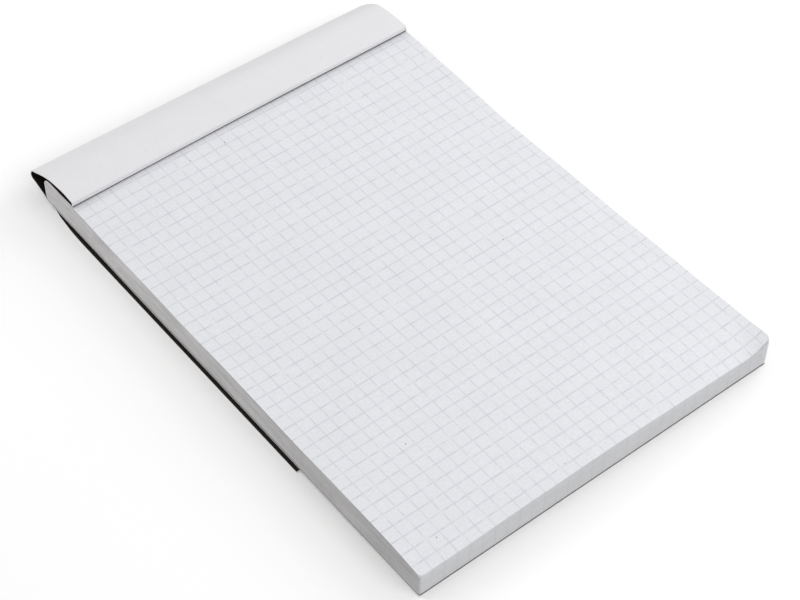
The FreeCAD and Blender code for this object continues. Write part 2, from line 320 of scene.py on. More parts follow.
def srgb(text):
    """A hex colour as linear light, with an alpha of 1."""
    channels = [int(text[i : i + 2], 16) / 255 for i in (1, 3, 5)]
    return (*(c / 12.92 if c <= 0.04045 else ((c + 0.055) / 1.055) ** 2.4 for c in channels), 1.0)


def add(tree, kind, links=None, **settings):
    """Adds a node. Links gives its inputs, by name or number, a value or another node's output."""
    node = tree.nodes.new(kind)
    for name, value in settings.items():
        setattr(node, name, value)
    for name, value in (links or {}).items():
        if isinstance(value, bpy.types.NodeSocket):
            tree.links.new(value, node.inputs[name])
        else:
            node.inputs[name].default_value = value
    return node


def new_material(name):
    """An empty node material and its tree."""
    material = bpy.data.materials.new(name)
    material.use_nodes = True
    material.node_tree.nodes.clear()
    return material, material.node_tree


def surface(tree, colour, normal=None, **finish):
    """Ends a material in the usual surface shader. Finish gives more of its inputs, with _ for a space."""
    inputs = {name.replace("_", " "): value for name, value in finish.items()}
    inputs["Base Color"] = colour
    if normal is not None:
        inputs["Normal"] = normal
    shader = add(tree, "ShaderNodeBsdfPrincipled", inputs)
    add(tree, "ShaderNodeOutputMaterial", {"Surface": shader.outputs["BSDF"]})


print("middle grey on screen is", round(srgb("#808080")[0], 3), "in linear light")

# %% [markdown]
# ## Mottled colour and uneven faces
#
# Paper, card, board and wire all look alive for two reasons. Their colour wanders a little, and their faces
# aren't quite flat. Painted textures could show that, but they would have one fixed sharpness and a place
# where they repeat. Noise has neither, and its scale is a real size in millimetres.

# %% Two recipes that the finishes share
CLOUD_SPAN = (0.3, 0.7)  # nearly all of the noise lies between these


def mottled(tree, place, colour, size_mm, low, high):
    """A colour that wanders between two strengths, in blotches of a given size."""
    pattern = {"Vector": place, "Scale": 1 / (size_mm * MM), "Detail": 3}
    clouds = add(tree, "ShaderNodeTexNoise", pattern).outputs["Fac"]
    span = {"Value": clouds, "From Min": CLOUD_SPAN[0], "From Max": CLOUD_SPAN[1]}
    span.update({"To Min": low, "To Max": high})
    strength = add(tree, "ShaderNodeMapRange", span).outputs[0]
    scaled = {0: srgb(colour)[:3], "Scale": strength}
    return add(tree, "ShaderNodeVectorMath", scaled, operation="SCALE").outputs[0]


def uneven(tree, place, size_mm, depth_mm, detail=4):
    """The normal of a face with bumps so wide and so deep."""
    pattern = {"Vector": place, "Scale": 1 / (size_mm * MM), "Detail": detail}
    height = add(tree, "ShaderNodeTexNoise", pattern).outputs["Fac"]
    return add(tree, "ShaderNodeBump", {"Height": height, "Distance": depth_mm * MM}).outputs["Normal"]


print("noise between", *CLOUD_SPAN, "is stretched to the full range of a mottle")

# %% [markdown]
# ## The squares
#
# The sheets are printed with 5 mm squares. An image of squared paper could be laid over them, but it would
# blur close up. So the squares are worked out from the object's own coordinates, exactly 5 mm apart whatever
# the mesh. The print isn't quite true to the cut, so the lines along the pad lean by a hair.

# %% The squares
SQUARE = 5.0
FIRST_LINES = (-69.15, 78.6)  # where one line along the pad lies, and one across it
PRINT_SKEW = 0.0008  # how far the lines along the pad lean


def line_mask(tree, along, first, width, soft):
    """1 on the lines of the squares and 0 between them, from a coordinate in millimetres."""
    past = add(tree, "ShaderNodeMath", {0: along, 1: first}, operation="SUBTRACT").outputs[0]
    distance = add(tree, "ShaderNodeMath", {0: past, 1: SQUARE / 2}, operation="PINGPONG").outputs[0]
    edges = {"Value": distance, "From Min": width / 2 - soft, "From Max": width / 2 + soft}
    edges.update({"To Min": 1.0, "To Max": 0.0})
    return add(tree, "ShaderNodeMapRange", edges, interpolation_type="SMOOTHSTEP").outputs[0]


def squares(tree, place, widths, soft):
    """1 on the lines of both directions. Widths are those along the pad and those across it."""
    mm = add(tree, "ShaderNodeVectorMath", {0: place, "Scale": 1 / MM}, operation="SCALE").outputs[0]
    parts = add(tree, "ShaderNodeSeparateXYZ", {0: mm}).outputs
    lean = add(tree, "ShaderNodeMath", {0: parts["Y"], 1: PRINT_SKEW}, operation="MULTIPLY").outputs[0]
    across = add(tree, "ShaderNodeMath", {0: parts["X"], 1: lean}, operation="SUBTRACT").outputs[0]
    masks = [
        line_mask(tree, along, first, width, soft)
        for along, first, width in zip((across, parts["Y"]), FIRST_LINES, widths)
    ]
    return add(tree, "ShaderNodeMath", {0: masks[0], 1: masks[1]}, operation="MAXIMUM").outputs[0]


print(f"{2 * HALF_WIDTH / SQUARE:.1f} squares across and {(HEAD - FOOT) / SQUARE:.1f} along")

# %% [markdown]
# ## Pulp
#
# Paper and the bare side of the card are both felted from fibres. Single fibres are far too fine to show, so
# they are drawn as a faint mottle nearly a millimetre wide, over a broad cloudiness. A few grey-brown flecks
# of bark are left in the pulp. They could be separate bits of mesh, but a pattern that picks a few cells and
# draws a dot in each lies in the paper as real ones do.

# %% Pulp and its flecks
FLECK_CELL = 16.0  # one fleck at most in each cell of this size
FLECK_SIZE = 0.24  # radius of the largest
FIBRE_MOTTLE = 0.8


def flecks(tree, place, share):
    """1 on a few flecks scattered in the pulp. Share is the part of the cells that hold one."""
    pattern = {"Vector": place, "Scale": 1 / (FLECK_CELL * MM)}
    cells = add(tree, "ShaderNodeTexVoronoi", pattern, voronoi_dimensions="2D").outputs
    lot = add(tree, "ShaderNodeSeparateColor", {0: cells["Color"]}).outputs
    chosen = add(tree, "ShaderNodeMath", {0: lot[0], 1: share}, operation="LESS_THAN").outputs[0]
    sized = {0: lot[1], 1: FLECK_SIZE / FLECK_CELL}
    reach = add(tree, "ShaderNodeMath", sized, operation="MULTIPLY").outputs[0]
    near = add(tree, "ShaderNodeMath", {0: cells["Distance"], 1: reach}, operation="LESS_THAN").outputs[0]
    return add(tree, "ShaderNodeMath", {0: near, 1: chosen}, operation="MULTIPLY").outputs[0]


def pulpy(tree, place, colour, cloud_mm, fibre):
    """A pulp colour, half of it in broad clouds and half in a fine mottle of a given strength."""
    clouds = mottled(tree, place, colour, cloud_mm, low=0.97, high=1.02)
    fibres = mottled(tree, place, colour, FIBRE_MOTTLE, low=1 - fibre, high=1 + fibre)
    return add(tree, "ShaderNodeMix", {0: 0.5, 6: clouds, 7: fibres}, data_type="RGBA").outputs[2]


print(f"flecks are up to {2 * FLECK_SIZE:.1f} mm across")

# %% [markdown]
# ## Writing paper, squared
#
# The sheets are bleached wood-free writing paper: cool white, quite matt, printed in a thin grey violet ink.
# The lines across the pad carry a little more ink than those along it, and both come and go, as a light
# offset tint does. Real lines are about 0.3 mm wide. That is finer than the render shows, so they are drawn
# a little wider and fainter.

# %% Ruled paper
LINE_WIDTHS, LINE_SOFTNESS = (0.38, 0.53), 0.14  # widths along the pad and across it, and the soft rim
PAPER, INK, FLECK = "#DFE0E4", "#CBCCD2", "#7C7872"
INK_PATCH = 3.0  # the ink comes and goes in patches of about this size
INK_GAIN, INK_LOSS = 2.6, -0.62  # these turn cloudy noise into a share of ink, 0.7 on average


def make_ruled_paper():
    """Matt and cool white, with faint lines that fade in and out."""
    material, tree = new_material("wood_free_writing_paper_squared")
    place = add(tree, "ShaderNodeTexCoord").outputs["Object"]
    lines = squares(tree, place, LINE_WIDTHS, LINE_SOFTNESS)
    pattern = {"Vector": place, "Scale": 1 / (INK_PATCH * MM), "Detail": 4}
    patches = add(tree, "ShaderNodeTexNoise", pattern).outputs["Fac"]
    levels = {0: patches, 1: INK_GAIN, 2: INK_LOSS}
    share = add(tree, "ShaderNodeMath", levels, operation="MULTIPLY_ADD").outputs[0]
    ink = add(tree, "ShaderNodeMath", {0: lines, 1: share}, operation="MULTIPLY").outputs[0]
    paper = pulpy(tree, place, PAPER, cloud_mm=14, fibre=0.08)
    printed = add(tree, "ShaderNodeMix", {0: ink, 6: paper, 7: srgb(INK)}, data_type="RGBA").outputs[2]
    flecked = {0: flecks(tree, place, share=0.25), 6: printed, 7: srgb(FLECK)}
    colour = add(tree, "ShaderNodeMix", flecked, data_type="RGBA").outputs[2]
    normal = uneven(tree, place, size_mm=1.3, depth_mm=0.02)
    surface(tree, colour, normal, Roughness=0.85, Specular_IOR_Level=0.3)
    return material


ruled_paper = make_ruled_paper()
print(ruled_paper.name, len(ruled_paper.node_tree.nodes), "nodes")

# %% [markdown]
# ## The cut edges of the sheets
#
# Seen from the side, a block of paper is a hundred cut edges with dark slits between them. The slits are left
# open between the sheets below, so this finish adds only what the slits don't. The printed lines run off
# every sheet, each sheet a little differently registered, so on the block they add up to soft grey bands, one
# at each square. Faint lighter and darker streaks run with the sheets, as painted light and shade where a few
# of them were cut a hair longer than the rest. The two long sides show them more, and grow greyer towards the
# foot.

# %% Cut edges of paper
BAND_WIDTHS, BAND_SOFTNESS = (1.6, 1.9), 0.75
BAND_TINT = 0.08  # how much of the ink's grey a band has
ALONG_SHEETS = (0.08, 0.08, 1.0)  # stretches a pattern in the plane of the sheets
LONG_SIDE = (73.2, 73.9)  # from the middle, where the foot ends and the long sides begin
SIDE_GREYING = (60.0, -100.0)  # where the long sides start to grey, and where they are greyest


def on_long_sides(tree, x):
    """1 on the two long sides of the pad and 0 between them."""
    out = add(tree, "ShaderNodeMath", {0: x}, operation="ABSOLUTE").outputs[0]
    ends = {"Value": out, "From Min": LONG_SIDE[0] * MM, "From Max": LONG_SIDE[1] * MM}
    return add(tree, "ShaderNodeMapRange", ends).outputs[0]


def make_paper_edge():
    """Chalky and matt, with painted streaks of light and shade along the sheets, long sides greyer towards
    the foot, and a soft grey band at each printed line.
    """
    material, tree = new_material("guillotined_paper_edge")
    place = add(tree, "ShaderNodeTexCoord").outputs["Object"]
    parts = add(tree, "ShaderNodeSeparateXYZ", {0: place}).outputs
    streaks = add(tree, "ShaderNodeMapping", {"Vector": place, "Scale": ALONG_SHEETS}).outputs[0]
    # Streaks of painted light and shade, faint at the foot and stronger on the long sides.
    foot = mottled(tree, streaks, "#E0E0E1", size_mm=1.7, low=0.96, high=1.02)
    side = mottled(tree, streaks, "#E2DFDC", size_mm=1.3, low=0.8, high=1.13)
    # The long sides are made greyer towards the foot.
    greying = {"Value": parts["Y"], "From Min": SIDE_GREYING[0] * MM, "From Max": SIDE_GREYING[1] * MM}
    greying.update({"To Min": 1.02, "To Max": 0.78})
    worn = add(tree, "ShaderNodeMapRange", greying, interpolation_type="SMOOTHSTEP").outputs[0]
    side = add(tree, "ShaderNodeVectorMath", {0: side, "Scale": worn}, operation="SCALE").outputs[0]
    faces = {0: on_long_sides(tree, parts["X"]), 6: foot, 7: side}
    cut = add(tree, "ShaderNodeMix", faces, data_type="RGBA").outputs[2]
    bands = squares(tree, place, BAND_WIDTHS, BAND_SOFTNESS)
    tint = add(tree, "ShaderNodeMath", {0: bands, 1: BAND_TINT}, operation="MULTIPLY").outputs[0]
    colour = add(tree, "ShaderNodeMix", {0: tint, 6: cut, 7: srgb("#ACABB0")}, data_type="RGBA").outputs[2]
    surface(tree, colour, Roughness=0.9, Specular_IOR_Level=0.2)
    return material


paper_edge = make_paper_edge()
print(paper_edge.name, len(paper_edge.node_tree.nodes), "nodes")

# %% [markdown]
# ## The stack of sheets
#
# The block is what repeats in a pad, so Geometry Nodes build it: one cut sheet, put down again and again on a
# short ladder of points. An Array modifier would repeat it too, but dead in line. Here each sheet slides a
# hair, and bundles of sheets slide together, as they do when a pad is handled. The tree ends in plain
# geometry with its materials set, and the result is taken off as a mesh. Then every sheet is bent to the
# heights above.

# %% One cut sheet
SHEETS = 100
LOOSE_SHEETS = 7  # those at the top, which have been thumbed
PITCH = 1.0 / SHEETS
SOLID_SHARE = 0.9  # the rest of a sheet's pitch is the slit above it


def one_sheet():
    """Both faces of a sheet at the bottom of a stack that is one millimetre high."""
    lower = outline(rows_from_foot(SPINE - FOOT, CORNER, widest=9.0), bunched(13))
    return lower + np.array([0, 0, PITCH * SOLID_SHARE]), lower


stack = thin_body("sheet_stack", [one_sheet()], [ruled_paper, ruled_paper, paper_edge])

# %% [markdown]
# ## The tree that stacks them
#
# The tree first marks the faces of the cut edge, while their material tells them. Then it puts a sheet on
# each point, slides it twice, once with its bundle and once alone, and turns the copies into real faces. Its
# sizes are named inputs, so another pad needs only other numbers. Compare takes whole numbers on 2 and 3.

# %% The stacking tree
STACK_INPUTS = {
    "Sheets": "NodeSocketInt",
    "Pitch": "NodeSocketFloat",
    "Sheets in a bundle": "NodeSocketInt",
    "Bundle slide": "NodeSocketFloat",
    "Sheet slide": "NodeSocketFloat",
    "Seed": "NodeSocketInt",
    "Paper": "NodeSocketMaterial",
    "Cut edge": "NodeSocketMaterial",
}


def sliding(tree, index, every, reach, seed):
    """A random slide in the plane of the sheets, shared by each bundle of so many sheets."""
    part = add(tree, "ShaderNodeMath", {0: index, 1: every}, operation="DIVIDE").outputs[0]
    bundle = add(tree, "ShaderNodeMath", {0: part}, operation="FLOOR").outputs[0]
    most = add(tree, "ShaderNodeCombineXYZ", {"X": reach, "Y": reach}).outputs[0]
    least = add(tree, "ShaderNodeVectorMath", {0: most, "Scale": -1.0}, operation="SCALE").outputs[0]
    chance = {"Min": least, "Max": most, "ID": bundle, "Seed": seed}
    return add(tree, "FunctionNodeRandomValue", chance, data_type="FLOAT_VECTOR").outputs[0]


def stack_tree():
    """Geometry Nodes that turn one sheet into a stack."""
    tree = bpy.data.node_groups.new("stack_of_sheets", "GeometryNodeTree")
    tree.interface.new_socket("Sheet", in_out="INPUT", socket_type="NodeSocketGeometry")
    tree.interface.new_socket("Stack", in_out="OUTPUT", socket_type="NodeSocketGeometry")
    for name, kind in STACK_INPUTS.items():
        tree.interface.new_socket(name, in_out="INPUT", socket_type=kind)
    given = tree.nodes.new("NodeGroupInput").outputs
    step = add(tree, "ShaderNodeCombineXYZ", {"Z": given["Pitch"]}).outputs[0]
    ladder = add(tree, "GeometryNodeMeshLine", {"Count": given["Sheets"], "Offset": step}, mode="OFFSET")
    index = add(tree, "GeometryNodeInputIndex").outputs[0]
    finish = add(tree, "GeometryNodeInputMaterialIndex").outputs[0]
    rim = add(tree, "FunctionNodeCompare", {2: finish, 3: RIM}, data_type="INT", operation="EQUAL")
    marks = {"Geometry": given["Sheet"], "Name": "cut_edge", "Value": rim.outputs[0]}
    marked = add(tree, "GeometryNodeStoreNamedAttribute", marks, data_type="BOOLEAN", domain="FACE")
    copies = {"Points": ladder.outputs[0], "Instance": marked.outputs[0]}
    many = add(tree, "GeometryNodeInstanceOnPoints", copies)
    slides = [
        sliding(tree, index, given["Sheets in a bundle"], given["Bundle slide"], given["Seed"]),
        sliding(tree, index, 1.0, given["Sheet slide"], given["Seed"]),
    ]
    slide = add(tree, "ShaderNodeVectorMath", {0: slides[0], 1: slides[1]}, operation="ADD").outputs[0]
    moved = add(tree, "GeometryNodeTranslateInstances", {"Instances": many.outputs[0], "Translation": slide})
    real = add(tree, "GeometryNodeRealizeInstances", {"Geometry": moved.outputs[0]}).outputs[0]
    paper = add(tree, "GeometryNodeSetMaterial", {"Geometry": real, "Material": given["Paper"]}).outputs[0]
    cut = add(tree, "GeometryNodeInputNamedAttribute", {"Name": "cut_edge"}, data_type="BOOLEAN").outputs[0]
    edge = {"Geometry": paper, "Selection": cut, "Material": given["Cut edge"]}
    edged = add(tree, "GeometryNodeSetMaterial", edge).outputs[0]
    add(tree, "NodeGroupOutput", {"Stack": edged})
    return tree


stacking = stack_tree()
print("inputs of the tree:", [item.name for item in stacking.interface.items_tree])

# %% [markdown]
# ## Stacked, and bent to the pad
#
# The tree runs as a modifier, and the plain mesh that comes out replaces the sheet's own. The stack is one
# millimetre high then, so a point's height is its share of the pad's thickness, and all sheets can be bent
# to their places between the board and the top sheet at once. A Lattice could bend them too, but not to
# given heights.

# %% Build the stack


def run_nodes(piece, tree, values):
    """Puts a node tree on a piece, sets its named inputs and leaves the plain mesh that comes out."""
    modifier = piece.modifiers.new(tree.name, "NODES")
    modifier.node_group = tree
    for item in tree.interface.items_tree:
        if item.name in values:
            modifier[item.identifier] = values[item.name]
    result = piece.evaluated_get(bpy.context.evaluated_depsgraph_get())
    mesh = bpy.data.meshes.new_from_object(result)
    piece.modifiers.remove(modifier)
    piece.data = mesh


def settle(piece):
    """Bends a stack one millimetre high to the height and slope of the pad."""
    points = np.empty(len(piece.data.vertices) * 3)
    piece.data.vertices.foreach_get("co", points)
    points = points.reshape(-1, 3) / MM
    share = points[:, 2].copy()
    points = lie(fit_spine(points, share), share)
    piece.data.vertices.foreach_set("co", (points * MM).ravel())
    finish_mesh(piece.data)


run_nodes(
    stack,
    stacking,
    {
        "Sheets": SHEETS - LOOSE_SHEETS,
        "Pitch": PITCH * MM,
        "Sheets in a bundle": 6,
        "Bundle slide": 0.06 * MM,
        "Sheet slide": 0.05 * MM,
        "Seed": 7,
        "Paper": ruled_paper,
        "Cut edge": paper_edge,
    },
)
settle(stack)
print(f"{stack.name}: {SHEETS - LOOSE_SHEETS} sheets, {len(stack.data.polygons)} faces")

# %% [markdown]
# ## What each piece belongs to
#
# Every piece that is made here is parented to the body it moves with, and the construction nodes it stands
# for are hidden. Only the front cover rides on no body, as it spans the lap and the flap.

# %% Say what a piece belongs to


def belongs(piece, slot, *nodes, body="pad"):
    """Hides the construction nodes that a piece stands for, and parents it to the body it moves with. Slot,
    the finish it wears, is not used.
    """
    if body:
        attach(piece, body)
    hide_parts(*nodes)


belongs(stack, "sheets", "page_block")
print(stack.name, "stands for page_block")

# %% [markdown]
# ## The thumbed sheets on top
#
# The topmost sheets are the ones that a hand has turned. They have the same outline, but their corners at the
# foot are worn rounder, and the right one stands up, a little more for each sheet, so a dark slit opens under
# them. They are modelled one by one, on a finer grid, because their bend is what catches the eye.

# %% Model the thumbed sheets
WORN_CORNERS = (1.5, 1.9)  # radii of the top sheet's corners, at its left and at its right
THUMB_LIFT = 1.8  # of the top sheet at its corner
THUMB_LEAST = 0.35  # the part of it that the lowest of these sheets has
THUMB_REACH = (8.0, 11.0)  # across the pad and along it
THUMB_CURL = (1.5, 0.9)  # over 1, the lift comes late, near the corner


def thumbed(points, share):
    """Lifts the corner of a loose sheet. Share is 0 for the lowest of them and 1 for the top sheet."""
    across = np.clip(1 - (HALF_WIDTH - points[..., 0]) / THUMB_REACH[0], 0, 1)
    along = np.clip(1 - (points[..., 1] - FOOT) / THUMB_REACH[1], 0, 1)
    lift = THUMB_LIFT * (THUMB_LEAST + (1 - THUMB_LEAST) * share)
    lifted = points.copy()
    lifted[..., 2] += lift * across ** THUMB_CURL[0] * along ** THUMB_CURL[1]
    return lifted


def loose_sheet(number):
    """One of the thumbed sheets, number 0 being the lowest."""
    level = (SHEETS - LOOSE_SHEETS + number) / SHEETS
    left, right = (CORNER + (worn - CORNER) * (number + 1) / LOOSE_SHEETS for worn in WORN_CORNERS)
    grid = outline(rows_from_foot(SPINE - FOOT, right, widest=5.0), bunched(37), left, right)
    return [
        thumbed(lie(fit_spine(grid, share), share), number / (LOOSE_SHEETS - 1))
        for share in (level + PITCH * SOLID_SHARE, level)
    ]


loose = thin_body(
    "thumbed_sheets",
    [loose_sheet(number) for number in range(LOOSE_SHEETS)],
    [ruled_paper, ruled_paper, paper_edge],
)
belongs(loose, "sheets", "page_block")

# %% [markdown]
# ## The bare inside of the card
#
# The cover is solid bleached board, printed on one side only. The inside is bare: off-white, a little warmer
# than the sheets, with a soft cloudiness from the pulp. Along the score a thin dark line is painted on the
# white face. It is painted shade for the tight crease where the fold meets the sheets. The pattern could read
# the object's coordinates, but it would slide over the card when the flap is opened. It reads the card's own
# flat map instead, so it stays put, and the score is simply where that map is zero.

# %% Inside of the card
SCORE_SHADE = (0.66, 0.8)  # how far from the fold the painted shade of the score is darkest, and where it ends
# the colour of the painted shade along the score
SCORE_SHADE_COLOUR = "#322E2C"


def make_card_inside():
    """Off-white and faintly cloudy, a little smoother than paper, with a thin line of painted shade along the
    score.
    """
    material, tree = new_material("solid_bleached_board_inside")
    place = add(tree, "ShaderNodeUVMap", uv_map="flat").outputs[0]
    paper = pulpy(tree, place, "#E0DFE1", cloud_mm=9, fibre=0.05)
    flecked = {0: flecks(tree, place, share=0.45), 6: paper, 7: srgb("#A9A49E")}
    bare = add(tree, "ShaderNodeMix", flecked, data_type="RGBA").outputs[2]
    from_fold = add(tree, "ShaderNodeSeparateXYZ", {0: place}).outputs["Y"]
    off = add(tree, "ShaderNodeMath", {0: from_fold}, operation="ABSOLUTE").outputs[0]
    fade = {"Value": off, "From Min": SCORE_SHADE[0] * MM, "From Max": SCORE_SHADE[1] * MM, "To Min": 1.0, "To Max": 0.0}
    # Painted shade: the card is darkened in a thin line along the score, where the fold shades it.
    crease_shade = add(tree, "ShaderNodeMapRange", fade, interpolation_type="SMOOTHSTEP").outputs[0]
    scored = {0: crease_shade, 6: bare, 7: srgb(SCORE_SHADE_COLOUR)}
    colour = add(tree, "ShaderNodeMix", scored, data_type="RGBA").outputs[2]
    normal = uneven(tree, place, size_mm=1.1, depth_mm=0.03)
    surface(tree, colour, normal, Roughness=0.8, Specular_IOR_Level=0.35)
    return material


card_inside = make_card_inside()
print(card_inside.name, len(card_inside.node_tree.nodes), "nodes")

# %% [markdown]
# ## The printed face of the card, and its cut edge
#
# The outside is printed solid black. The ink is matt and a touch brown, and lies thinner in places. The cut
# edge shows the white core between the two faces. One material with a mask could hold both, but the faces of
# a thin body already know which is which, so two plain materials do.

# %% Outside and edge of the card


def make_card_outside():
    """A flat layer of black ink: matt, a touch brown, hardly shinier than bare card."""
    material, tree = new_material("solid_bleached_board_black_print")
    place = add(tree, "ShaderNodeUVMap", uv_map="flat").outputs[0]
    colour = mottled(tree, place, "#110E0C", size_mm=5, low=0.8, high=1.25)
    normal = uneven(tree, place, size_mm=0.8, depth_mm=0.02)
    surface(tree, colour, normal, Roughness=0.7, Specular_IOR_Level=0.2)
    return material


def make_card_edge():
    """The white core where the blade has cut it, chalky and without a shine."""
    material, tree = new_material("solid_bleached_board_cut_edge")
    place = add(tree, "ShaderNodeTexCoord").outputs["Object"]
    colour = mottled(tree, place, "#F1EFED", size_mm=2.5, low=0.95, high=1.02)
    surface(tree, colour, Roughness=0.9, Specular_IOR_Level=0.2)
    return material


card_outside = make_card_outside()
card_edge = make_card_edge()
print("outside and edge:", card_outside.name, card_edge.name)

# %% [markdown]
# ## Millboard and wire
#
# The board under the sheets is grey millboard made of waste paper, rough and unprinted. Its ends are much
# darker than its long sides, which is painted shade under the sheets. The staples are flat zinc-plated steel
# wire, with fine scratches along the wire, from the die that it was drawn through. Those are hundredths of a
# millimetre wide. That is finer than any render of a whole pad shows, so they are drawn about a tenth wide.

# %% Millboard and staple wire
ALONG_WIRE = (0.1, 1.0, 0.1)  # stretches a pattern along the crowns and the legs of the staples


def make_millboard():
    """Dull grey with light and dark specks of fibre, and much darker at its ends as painted shade under the
    sheets.
    """
    material, tree = new_material("grey_millboard")
    place = add(tree, "ShaderNodeTexCoord").outputs["Object"]
    # The ends get a dark grey that is painted shade, and the long sides a lighter grey.
    shaded_ends, long = (
        mottled(tree, place, grey, size_mm=1.6, low=0.88, high=1.12) for grey in ("#545352", "#A3A09D")
    )
    x = add(tree, "ShaderNodeSeparateXYZ", {0: place}).outputs["X"]
    sides = {0: on_long_sides(tree, x), 6: shaded_ends, 7: long}
    colour = add(tree, "ShaderNodeMix", sides, data_type="RGBA").outputs[2]
    normal = uneven(tree, place, size_mm=0.9, depth_mm=0.06, detail=5)
    surface(tree, colour, normal, Roughness=0.95, Specular_IOR_Level=0.15)
    return material


def make_staple_wire():
    """Cool bright metal, softened by the scratches of drawing."""
    material, tree = new_material("zinc_plated_flat_wire")
    place = add(tree, "ShaderNodeTexCoord").outputs["Object"]
    drawn = add(tree, "ShaderNodeMapping", {"Vector": place, "Scale": ALONG_WIRE}).outputs[0]
    colour = mottled(tree, drawn, "#C4C5C8", size_mm=0.4, low=0.9, high=1.06)
    normal = uneven(tree, drawn, size_mm=0.15, depth_mm=0.004, detail=2)
    surface(tree, colour, normal, Metallic=1.0, Roughness=0.34)
    return material


millboard = make_millboard()
staple_wire = make_staple_wire()
print("board and wire:", millboard.name, staple_wire.name)

# %% [markdown]
# ## The board
#
# A plain rectangle of millboard under the sheets. It stops where the spine starts to turn. A cube scaled flat
# would lie dead level, and this one has to follow the pad, so it is a thin body too.

# %% Model the board
board_base = outline(rows_from_foot(board_high[1] - FOOT, CORNER, widest=6.0), bunched(15))
board_base[..., 2] = board_low[2] + underside(board_base[..., 1])
board_top = board_base + np.array([0, 0, board_high[2] - board_low[2]])
board = thin_body("grey_board", [(board_top, board_base)], [millboard] * 3)
belongs(board, "greyboard", "backing_board")

# %% [markdown]
# ## Paths seen from the side
#
# Both parts of the cover are card bent along a path seen from the side. Such a path could be drawn as a curve
# object. Here it is a list of points, because arcs, smooth stretches and a parallel face are then each a few
# lines of arithmetic, and the arcs keep the exact radii of the folds.

# %% Arcs, smooth lines and offsets


def bend(start, heading, radius, turn, steps):
    """Points along an arc after its start. Angles are in degrees, and a positive turn is to the left."""
    angles = np.radians(heading + np.linspace(0, turn, steps + 1))
    normals = np.stack([-np.sin(angles), np.cos(angles)], -1)
    return np.array(start) + math.copysign(radius, turn) * (normals[0] - normals[1:])


def smooth(points, steps):
    """A smooth line through a few points, each span of it divided into so many steps."""
    lengths = np.linalg.norm(np.diff(points, axis=0), axis=1)
    stations = np.concatenate([[0], np.cumsum(lengths)])
    at = [np.linspace(a, b, n, endpoint=False) for a, b, n in zip(stations, stations[1:], steps)]
    at = np.concatenate(at + [stations[-1:]])
    return np.stack([curve(stations, column, at) for column in points.T], -1)


def offset(path, distance):
    """The same path, moved to its right."""
    ahead = np.gradient(path, axis=0)
    ahead /= np.linalg.norm(ahead, axis=1, keepdims=True)
    return path + distance * np.stack([ahead[:, 1], -ahead[:, 0]], -1)


quarter = bend((0, 0), heading=0, radius=LOW_ROUND, turn=90, steps=8)
print("a quarter turn at the spine goes from 0, 0 to", quarter[-1].round(2))

# %% [markdown]
# ## Card between two paths
#
# The two ends of the pad differ a little, because the cover was folded by hand. A curve with a flat profile
# would be the same all the way across. So there is a path for each end, and the card between them is drawn
# straight across. The paths are drawn on the pale face, and the dark face lies one card's thickness to the
# right of it. Where each point lay on the flat card is kept too, and becomes the flat map of the finish.

# %% Bent card
CARD_COLUMNS = np.linspace(0, 1, 31)
FOLD_BOW = 0.27  # how far the middle of the fold lies nearer the head than its ends


def bent_card(name, left, right, shift, bowed, scored):
    """Card between two paths. Shift moves each row sideways, bowed is its share of the fold's bow, and
    scored is the row at the fold, from which the flat pattern is measured.
    """
    s = CARD_COLUMNS[:, None]
    faces = []
    for depth in (0.0, CARD):
        grid = np.empty((len(left), len(s), 3))
        grid[..., 1:] = offset(left, depth)[:, None] * (1 - s) + offset(right, depth)[:, None] * s
        grid[..., 1] += np.outer(bowed, FOLD_BOW * np.sin(math.pi * CARD_COLUMNS) ** 2)
        grid[..., 0] = HALF_WIDTH * (2 * CARD_COLUMNS - 1) + shift[:, None]
        faces.append(grid)
    middle = (left + right) / 2
    travelled = np.concatenate([[0], np.cumsum(np.linalg.norm(np.diff(middle, axis=0), axis=1))])
    flat = np.stack(np.meshgrid(2 * HALF_WIDTH * CARD_COLUMNS, travelled - travelled[scored]), -1)
    return thin_body(name, [faces], [card_inside, card_outside, card_edge], flat)


print(f"bent card is {CARD:.2f} mm thick, with {len(CARD_COLUMNS)} columns of points")

# %% [markdown]
# ## The back cover, the spine and the strip
#
# The card starts at the foot, runs under the board, turns round the head and comes back over the sheets as a
# narrow strip, which the staples hold down. Past the staples it runs on to the scored fold, which is half a
# millimetre higher at its right end. Only the spine is round, so rows of points are closest there.

# %% Model the back cover
FOLDS = ((86.05, 13.0), (86.4, 13.5))  # the lowest point of the fold at each end
STRIP_DROPS = (0.35, 0.0)  # the strip lies lower at its left end
STRIP_RISES_AT, STRIP_ROWS = 94.1, 9  # from here the strip rises to the fold, in so many rows
PLAIN_TO, PLAIN_STEP = 85.0, 7.5  # under the pad, rows are so far apart up to here, and then closer


def back_path(fold, drop):
    """The pale face of the back cover, from the foot to the fold."""
    base = PAD_LIFT + CARD
    plain, closer = np.arange(FOOT, PLAIN_TO, PLAIN_STEP), np.linspace(PLAIN_TO, SPINE - LOW_ROUND, 10)
    run = np.concatenate([plain, closer])
    under = np.stack([run, np.full(len(run), base)], -1)
    low = bend(under[-1], heading=0, radius=LOW_ROUND, turn=90, steps=8)
    high = bend((SPINE, STRIP_BASE - HIGH_ROUND), heading=90, radius=HIGH_ROUND, turn=90, steps=12)
    t = np.linspace(0, 1, STRIP_ROWS)
    ease = np.stack([t, t**2 * (3 - 2 * t)], -1)
    start = np.array((STRIP_RISES_AT, STRIP_BASE))
    rise = start + (fold + np.array((0, drop)) - start) * ease
    path = np.concatenate([under, low, high, rise])
    up = np.clip((path[:, 1] - base) / (STRIP_BASE - base), 0, 1)
    path[:, 1] += underside(path[:, 0]) * (1 - up) - drop * up
    return path


back_left, back_right = (back_path(fold, drop) for fold, drop in zip(FOLDS, STRIP_DROPS))
back_bow = np.zeros(len(back_left))
back_bow[-STRIP_ROWS:] = np.linspace(0, 1, STRIP_ROWS)
no_shift = np.zeros(len(back_left))
back_cover = bent_card("back_cover", back_left, back_right, no_shift, back_bow, scored=-1)
belongs(back_cover, "cover_card", "cover")

